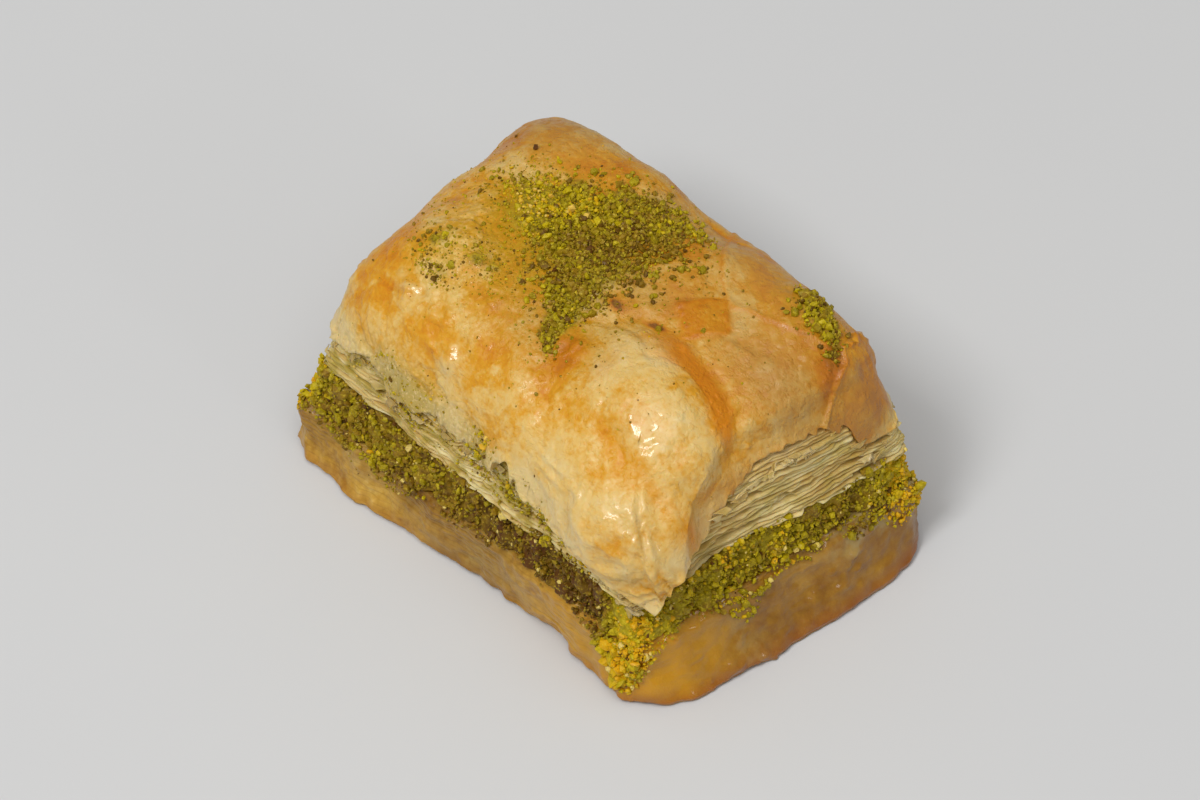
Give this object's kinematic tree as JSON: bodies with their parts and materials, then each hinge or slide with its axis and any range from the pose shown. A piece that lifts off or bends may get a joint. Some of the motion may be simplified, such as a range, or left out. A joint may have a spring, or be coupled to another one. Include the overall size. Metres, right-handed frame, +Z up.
{
  "type": "baklava piece",
  "caption": "Cut rectangular piece of pistachio baklava: dense soaked bottom pastry, crumbly nut filling, and a puffed flaky top with a glazed, blistered golden crust.",
  "frame": {"origin": "centre of the bounding box's bottom, on the flat underside of the bottom pastry", "axes": "+X along the piece towards the end whose cut face slumps outwards, +Y across it, +Z up"},
  "size_m": [0.0552, 0.0378, 0.0288],
  "materials": {
    "soaked_pastry": "syrup-soaked pastry leaves pressed together, tan to amber, moist and slightly glossy",
    "ground_pistachio": "coarse ground pistachio, yellow-green to dark olive, moist crumbs",
    "golden_crust": "baked filo leaves glazed with syrup, golden with amber patches, pale at the cut edges"
  },
  "bodies": {
    "root": {"bottom_pastry": "soaked_pastry", "pistachio_filling": "ground_pistachio", "top_pastry": "golden_crust"}
  },
  "joints": []
}
